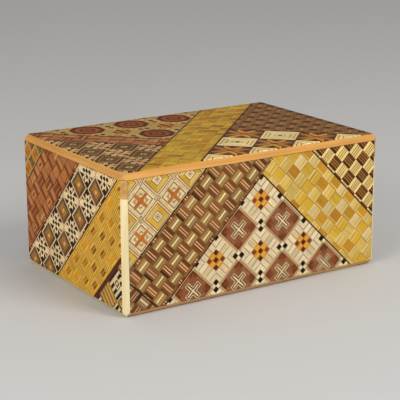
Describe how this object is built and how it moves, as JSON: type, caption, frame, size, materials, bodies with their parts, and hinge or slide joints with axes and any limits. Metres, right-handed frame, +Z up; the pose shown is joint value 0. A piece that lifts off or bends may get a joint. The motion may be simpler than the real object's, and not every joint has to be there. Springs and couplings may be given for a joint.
{
  "type": "wooden puzzle box",
  "caption": "Bevelled rectangular wooden puzzle box with marquetry faces; the lid slides open lengthwise and the end panels slide down with the key strips above them.",
  "frame": {"origin": "middle of the underside, on the surface that the box stands on", "axes": "+X along the length, towards the end that the lid slides out over; +Y from the front long side to the back one; +Z up"},
  "size_m": [0.152, 0.1036, 0.07],
  "materials": {
    "case_wood": "satin, plain sawn",
    "batten_wood": "matt, planed",
    "lid_wood": "satin lacquer",
    "panel_wood": "satin lacquer",
    "key_wood": "satin lacquer",
    "side_marquetry": "satin lacquer over marquetry",
    "end_marquetry": "satin lacquer over marquetry",
    "lid_marquetry": "satin lacquer over marquetry",
    "base_marquetry": "satin lacquer over marquetry"
  },
  "bodies": {
    "case": {"base_board": "case_wood", "base_veneer": "base_marquetry", "front_wall": "case_wood", "front_veneer": "side_marquetry", "back_wall": "case_wood", "back_veneer": "side_marquetry", "left_inner_wall": "case_wood", "right_inner_wall": "case_wood", "left_front_guide": "batten_wood", "left_back_guide": "batten_wood", "right_front_guide": "batten_wood", "right_back_guide": "batten_wood"},
    "lid": {"lid_board": "lid_wood", "lid_veneer": "lid_marquetry", "front_lid_batten": "batten_wood", "back_lid_batten": "batten_wood", "lid_cross_cleat": "batten_wood"},
    "left_panel": {"left_panel_board": "panel_wood", "left_panel_veneer": "end_marquetry", "left_panel_slide": "batten_wood"},
    "left_key": {"left_key_board": "key_wood", "left_key_veneer": "end_marquetry", "left_key_slide": "batten_wood"},
    "right_panel": {"right_panel_board": "panel_wood", "right_panel_veneer": "end_marquetry", "right_panel_slide": "batten_wood"},
    "right_key": {"right_key_board": "key_wood", "right_key_veneer": "end_marquetry", "right_key_slide": "batten_wood"}
  },
  "joints": [
    {"name": "lid_slide", "type": "slide", "parent": "case", "child": "lid", "axis": [1, 0, 0], "range_m": [0, 0.095]},
    {"name": "left_panel_slide_down", "type": "slide", "parent": "case", "child": "left_panel", "axis": [0, 0, -1], "range_m": [0, 0.0045]},
    {"name": "left_key_slide_down", "type": "slide", "parent": "case", "child": "left_key", "axis": [0, 0, -1], "range_m": [0, 0.0045]},
    {"name": "right_panel_slide_down", "type": "slide", "parent": "case", "child": "right_panel", "axis": [0, 0, -1], "range_m": [0, 0.0045]},
    {"name": "right_key_slide_down", "type": "slide", "parent": "case", "child": "right_key", "axis": [0, 0, -1], "range_m": [0, 0.0045]}
  ],
  "couplings": [
    {"joint": "left_key_slide_down", "follows": "left_panel_slide_down", "ratio": 1},
    {"joint": "right_key_slide_down", "follows": "right_panel_slide_down", "ratio": 1}
  ]
}
